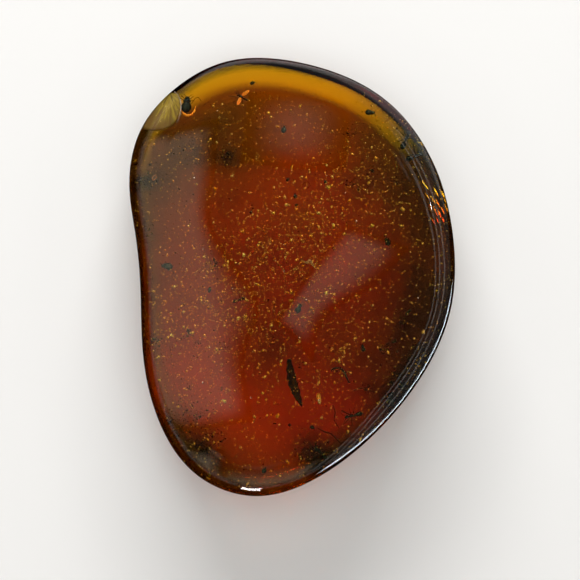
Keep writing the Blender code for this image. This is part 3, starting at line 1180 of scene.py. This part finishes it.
# Orange rim of resin round the first beetle's tail: the pixels it runs through, its depth in mm, and
# its half thickness in mm at each
HALO = ((182.5, 111.5), (184.5, 116.0), (188.5, 118.0), (193.0, 117.0), (196.0, 113.0), (196.5, 108.5))
HALO_DEPTH = 1.0
HALO_GIRTHS = (0.084, 0.216, 0.24, 0.24, 0.168, 0.072)


def halo():
    """Bright orange rim where the resin shrank from the first beetle."""
    glow = mottled_material("halo_skin", (0.7, 0.2, 0.02), (1.0, 0.42, 0.06), 0.4, metallic=0.4, scale=7.0)
    shape = bmesh.new()
    points = [sealed(*pixel, HALO_DEPTH) for pixel in HALO]
    add_tube(shape, points, HALO_GIRTHS, sides=10)
    add_debris("beetle_halo", shape, glow)


# ---------------------------------------------------------------- floor

# Floor, in metres: how far out and how high it is, and the hair's breadth that keeps it off the nugget
FLOOR_PROFILE = ((0.9, 0.0), (1.05, 0.02), (1.15, 0.07), (1.2, 0.15), (1.22, 0.3))
FLOOR_SPOKES = 96
FLOOR_GAP = -0.00002


def floor():
    """Plain pale floor that sweeps up far from the nugget, and doesn't show in the polish."""
    material, tree = new_material("pale_floor")
    add_surface(tree, {"Base Color": (0.8, 0.79, 0.77, 1.0), "Roughness": 0.9, "Specular IOR Level": 0.2})
    angles = [math.tau * k / FLOOR_SPOKES for k in range(FLOOR_SPOKES)]
    shape = bmesh.new()
    rings = [
        [shape.verts.new((reach * math.cos(t), reach * math.sin(t), height + FLOOR_GAP)) for t in angles]
        for reach, height in FLOOR_PROFILE
    ]
    close_loop(shape, rings[0], shape.verts.new((0.0, 0.0, FLOOR_GAP)))
    for inner, outer in zip(rings, rings[1:]):
        join_loops(shape, outer, inner)
    piece = add_object("floor", shape, material)
    piece.visible_glossy = False


# ---------------------------------------------------------------- light

TENT_EDGE = (0.50, 0.66)    # height of the tent's rim, as the sine of its elevation
TENT_RADIANCE = 0.17
TOP_RADIANCE = 0.06
RINGS = ((0.785, 0.8), (0.56, 1.3), (0.3, 1.0))     # height and brightness of each ring of light
RING_HALF_WIDTH = 0.022
# Glow below the horizon, which only the rim reflects: its direction in plan, how close to that
# direction it starts and is full, as a cosine, and its brightness
GLOW_DIRECTION = (0.34, 0.94, 0.0)
GLOW_EDGE = (0.5, 0.72)
GLOW_RADIANCE = 0.75

CEILING_HEIGHT = 0.95
CEILING_WIDTH = 1.1
CEILING_RADIANCE = 1.25

# Boxes low down: azimuth from +X and elevation in degrees, distance, width and height in metres,
# and radiance. The first one lights everything, but doesn't show in the polish. The others show only
# in the polish, and the last of them in the flakes too.
BACK_BOX = (92.0, 22.0, 0.9, 0.8, 0.3, 17.5)
POLISH_BOXES = {
    "front_box": (-97.5, -7.0, 0.8, 0.15, 0.38, 16.0),
    "right_box": (-33.0, -37.0, 0.8, 0.70, 0.30, 6.0),
    "right_line": (-40.0, -4.0, 0.8, 0.55, 0.07, 3.0),
    "left_glow": (180.0, 14.0, 0.8, 1.1, 0.7, 0.15),
    "spark_box": (SPARK_AZIMUTH, SPARK_ELEVATION, 0.8, 0.03, 0.06, 24.0),
}
COOL_WHITE = (0.78, 0.9, 1.0)

# Level cards over the nugget that show only in the polish: middle, width and length in metres,
# turn in degrees, radiance, and the width of the soft edge in metres
CARDS = {
    "left_card": ((-0.50, 0.14), 0.70, 0.84, 5.0, 1.0, 0.06),
    "far_card": ((-0.01, 0.54), 0.24, 0.28, 0.0, 0.65, 0.12),
    "front_card": ((-0.05, -0.48), 0.32, 0.2, 0.0, 0.8, 0.07),
    "lower_card": ((-0.235, -0.385), 0.13, 0.13, 0.0, 1.0, 0.05),
    "upper_card": ((0.065, 0.075), 0.15, 0.36, -32.0, 0.75, 0.05),
}
CARD_HEIGHT = 0.72
WARM_WHITE = (1.0, 0.94, 0.74, 1.0)


def add_box(name, middle, aim, width, height, radiance):
    """Rectangular soft light at a point, shining against its aim."""
    lamp = bpy.data.lights.new(name, "AREA")
    lamp.shape = "RECTANGLE"
    lamp.size = width
    lamp.size_y = height
    lamp.energy = radiance * math.pi * width * height
    light = bpy.data.objects.new(name, lamp)
    light.location = middle
    light.rotation_mode = "QUATERNION"
    light.rotation_quaternion = aim.to_track_quat("Z", "Y")
    light.visible_camera = False
    bpy.context.scene.collection.objects.link(light)
    return light


def low_box(name, azimuth, elevation, distance, width, height, radiance):
    """Softbox near the floor, aimed at the nugget."""
    away = toward(azimuth, elevation)
    return add_box(name, away * distance, away, width, height, radiance)


def ring_of_light(tree, height, middle, radiance):
    """Brightness of a ring all round the sky, at a middle height with soft edges."""
    away = calculate(tree, "ABSOLUTE", calculate(tree, "SUBTRACT", height, middle))
    return smooth_fade(tree, away, (RING_HALF_WIDTH, RING_HALF_WIDTH * 1.6), (radiance, 0.0))


def room_light():
    """World like a light tent: bright low down all round, with three brighter rings, and dark overhead."""
    world = bpy.data.worlds.new("light_tent")
    world.use_nodes = True
    tree = world.node_tree
    direction = add_node(tree, "TexCoord", {}).outputs["Generated"]
    x, y, z = add_node(tree, "SeparateXYZ", {"Vector": direction}).outputs
    over_far_end = calculate(tree, "MULTIPLY_ADD", calculate(tree, "ABSOLUTE", x), -1.2, y)
    ring_share = smooth_fade(tree, over_far_end, (0.0, 0.25), (1.0, 0.0))
    sky = smooth_fade(tree, z, TENT_EDGE, (TENT_RADIANCE, TOP_RADIANCE))
    for middle, radiance in RINGS:
        ring = ring_of_light(tree, z, middle, radiance)
        sky = calculate(tree, "MULTIPLY_ADD", ring, ring_share, sky)
    toward_glow = add_node(tree, "VectorMath", {0: direction, 1: GLOW_DIRECTION}, operation="DOT_PRODUCT")
    glow = smooth_fade(tree, toward_glow.outputs["Value"], GLOW_EDGE, (0.0, GLOW_RADIANCE))
    above = smooth_fade(tree, z, (-0.06, 0.06), (0.0, 1.0))
    strength = add_node(tree, "Mix", {"Factor": above, "A": glow, "B": sky}).outputs["Result"]
    background = tree.nodes["Background"]
    background.inputs["Color"].default_value = (1.0, 0.99, 0.97, 1.0)
    tree.links.new(strength, background.inputs["Strength"])
    bpy.context.scene.world = world


def reflection_card(name, middle, width, length, turn, radiance, soft_edge):
    """Softbox that only shines in the polish: level over the nugget, its edges fading out."""
    material, tree = new_material(name)
    where = add_node(tree, "TexCoord", {}).outputs["Generated"]
    parts = add_node(tree, "SeparateXYZ", {"Vector": where}).outputs
    fades = []
    for axis, reach, brightest in (("X", width, radiance), ("Y", length, 1.0)):
        away = calculate(tree, "ABSOLUTE", calculate(tree, "SUBTRACT", parts[axis], 0.5))
        fades.append(smooth_fade(tree, away, (0.5 - soft_edge / reach, 0.5), (brightest, 0.0)))
    glow = add_node(tree, "Emission", {"Color": WARM_WHITE, "Strength": calculate(tree, "MULTIPLY", *fades)})
    add_node(tree, "OutputMaterial", {"Surface": glow.outputs["Emission"]})
    material.cycles.emission_sampling = "NONE"
    shape = bmesh.new()
    corners = [(-0.5, -0.5), (0.5, -0.5), (0.5, 0.5), (-0.5, 0.5)]
    shape.faces.new([shape.verts.new((x * width, y * length, 0.0)) for x, y in corners])
    card = add_object(name, shape, material)
    card.location = (*middle, CARD_HEIGHT)
    card.rotation_euler.z = math.radians(turn)
    card.visible_camera = False
    card.visible_diffuse = False
    card.visible_shadow = False


def studio():
    """Soft studio light, with cards and small boxes that show in the polish."""
    room_light()
    overhead = Vector((0.0, 0.0, 1.0))
    middle = overhead * CEILING_HEIGHT
    ceiling = add_box("ceiling_box", middle, overhead, CEILING_WIDTH, CEILING_WIDTH, CEILING_RADIANCE)
    back = low_box("back_box", *BACK_BOX)
    for box in (ceiling, back):
        box.visible_glossy = False
    for name, card in CARDS.items():
        reflection_card(name, *card)
    for name, values in POLISH_BOXES.items():
        box = low_box(name, *values)
        box.visible_diffuse = False
        box.visible_transmission = name == "spark_box"
        if name in ("right_box", "right_line"):
            box.data.color = COOL_WHITE


# ---------------------------------------------------------------- camera

LENS = 135.0
SENSOR = 36.0
CAMERA_FOCUS_HEIGHT = 7.0   # in mm


def camera():
    """Straight above, framed as the photograph is."""
    data = bpy.data.cameras.new("camera")
    data.lens = LENS
    data.sensor_width = SENSOR
    data.clip_start = 0.01
    data.clip_end = 10.0
    eye = bpy.data.objects.new("camera", data)
    middle = place(PICTURE / 2, PICTURE / 2, CAMERA_FOCUS_HEIGHT)
    reach = PICTURE * MM_PER_PX * LENS / SENSOR
    eye.location = (middle + Vector((0.0, 0.0, reach))) * MM
    bpy.context.scene.collection.objects.link(eye)
    bpy.context.scene.camera = eye


def render_look():
    """Plain colour, and enough bounces for light to cross the amber and its floor."""
    scene = bpy.context.scene
    scene.view_settings.view_transform = "Standard"
    scene.cycles.max_bounces = 32
    scene.cycles.transmission_bounces = 28
    scene.cycles.transparent_max_bounces = 24


fine_amber()
dust()
insects()
threads()
larva()
leaf()
crack()
flashes()
bubbles()
clots()
ring_scale()
pale_husk()
halo()
stains()
floor()
studio()
camera()
render_look()
